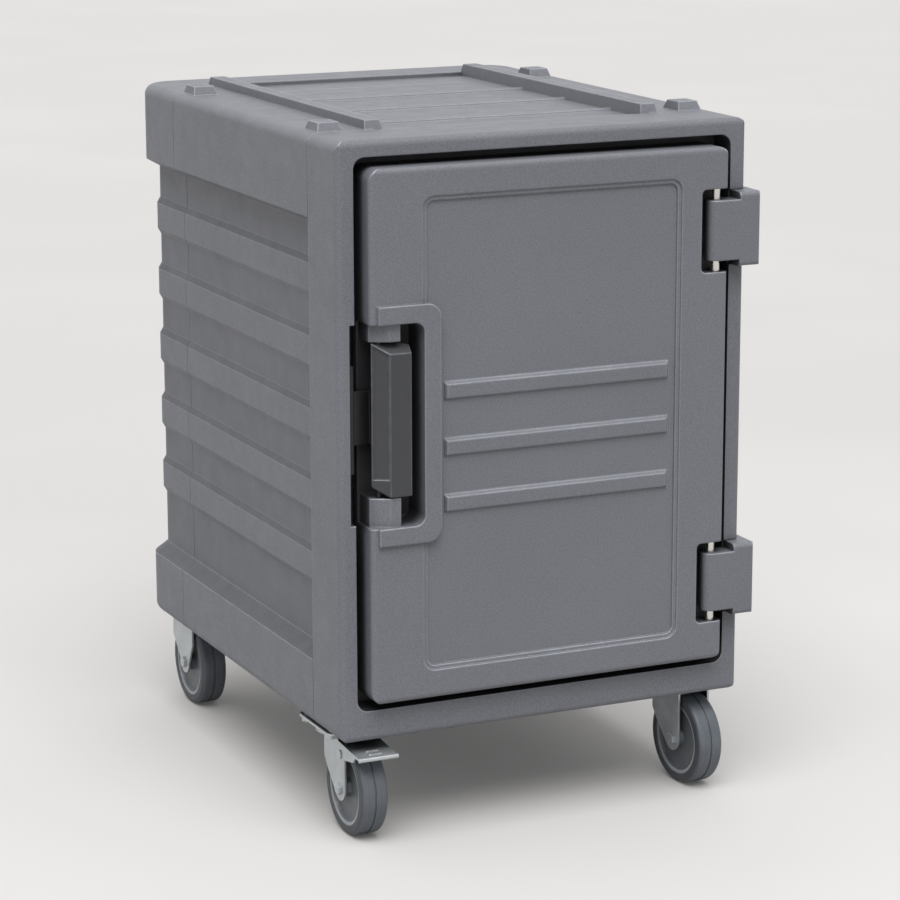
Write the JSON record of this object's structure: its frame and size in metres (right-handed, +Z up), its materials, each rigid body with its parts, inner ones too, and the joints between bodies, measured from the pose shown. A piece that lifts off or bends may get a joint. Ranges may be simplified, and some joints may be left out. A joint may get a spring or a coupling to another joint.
{
  "type": "insulated food cupboard",
  "caption": "Upright grey insulated food cupboard on castors, with a hinged front door, paddle latch, ribbed sides and stacking rails on top.",
  "frame": {"origin": "on the floor, under the middle of the bounding box", "axes": "+Z up, the door faces -Y, the hinges are on +X"},
  "size_m": [0.511, 0.66, 0.7996],
  "materials": {
    "body_grey": "fine moulded grain",
    "door_grey": "fine moulded grain",
    "liner_grey": "smooth moulded",
    "foam": "rigid foam",
    "gasket": "matt",
    "hinge_grey": "satin",
    "latch_dark": "satin",
    "stainless": "drawn",
    "zinc": "zinc plated",
    "tyre_grey": "matt",
    "hub_grey": "satin"
  },
  "bodies": {
    "cabinet": {"front_frame": "body_grey", "body_jacket": "body_grey", "rear_cap": "body_grey", "inner_liner": "liner_grey", "tray_runners": "liner_grey", "insulation_foam": "foam", "hinge_block_upper": "hinge_grey", "hinge_block_lower": "hinge_grey", "hinge_screws": "stainless", "latch_keeper": "latch_dark", "keeper_screws": "stainless", "castor_plate_front_left": "zinc", "castor_plate_front_right": "zinc", "castor_bolts": "zinc", "fork_rear_left": "zinc", "fork_rear_right": "zinc", "axles_rear": "zinc"},
    "door": {"door_shell": "door_grey", "door_pan": "liner_grey", "door_foam": "foam", "door_gasket": "gasket", "hinge_pins": "stainless", "latch_pin": "stainless"},
    "latch": {"latch_handle": "latch_dark"},
    "swivel_left": {"fork_front_left": "zinc", "king_pin_front_left": "zinc", "axle_front_left": "zinc", "brake_pedal_pin": "zinc"},
    "swivel_right": {"fork_front_right": "zinc", "king_pin_front_right": "zinc", "axle_front_right": "zinc"},
    "pedal": {"brake_pedal": "zinc"},
    "wheel_front_left": {"tyre_front_left": "tyre_grey", "hub_front_left": "hub_grey", "sleeve_front_left": "zinc"},
    "wheel_front_right": {"tyre_front_right": "tyre_grey", "hub_front_right": "hub_grey", "sleeve_front_right": "zinc"},
    "wheel_rear_left": {"tyre_rear_left": "tyre_grey", "hub_rear_left": "hub_grey", "sleeve_rear_left": "zinc"},
    "wheel_rear_right": {"tyre_rear_right": "tyre_grey", "hub_rear_right": "hub_grey", "sleeve_rear_right": "zinc"}
  },
  "joints": [
    {"name": "door_swing", "type": "hinge", "parent": "cabinet", "child": "door", "pos_m": [0.2015, -0.317, 0.4641], "axis": [0, 0, 1], "range_deg": [0, 110]},
    {"name": "latch_turn", "type": "hinge", "parent": "door", "child": "latch", "pos_m": [-0.2105, -0.313, 0.4861], "axis": [0, 0, 1], "range_deg": [-15, 14]},
    {"name": "swivel_left_turn", "type": "hinge", "parent": "cabinet", "child": "swivel_left", "pos_m": [-0.2165, -0.221, 0.1135], "axis": [0, 0, 1], "continuous": true},
    {"name": "swivel_right_turn", "type": "hinge", "parent": "cabinet", "child": "swivel_right", "pos_m": [0.2055, -0.221, 0.1135], "axis": [0, 0, 1], "continuous": true},
    {"name": "brake_press", "type": "hinge", "parent": "swivel_left", "child": "pedal", "pos_m": [-0.2165, -0.267, 0.097], "axis": [1, 0, 0], "range_deg": [0, 5]},
    {"name": "wheel_front_left_spin", "type": "hinge", "parent": "swivel_left", "child": "wheel_front_left", "pos_m": [-0.2165, -0.259, 0.054], "axis": [1, 0, 0], "continuous": true},
    {"name": "wheel_front_right_spin", "type": "hinge", "parent": "swivel_right", "child": "wheel_front_right", "pos_m": [0.20749, -0.25895, 0.054], "axis": [0.9986, 0.0523, 0], "continuous": true},
    {"name": "wheel_rear_left_spin", "type": "hinge", "parent": "cabinet", "child": "wheel_rear_left", "pos_m": [-0.2045, 0.276, 0.054], "axis": [1, 0, 0], "continuous": true},
    {"name": "wheel_rear_right_spin", "type": "hinge", "parent": "cabinet", "child": "wheel_rear_right", "pos_m": [0.1935, 0.276, 0.054], "axis": [1, 0, 0], "continuous": true}
  ]
}
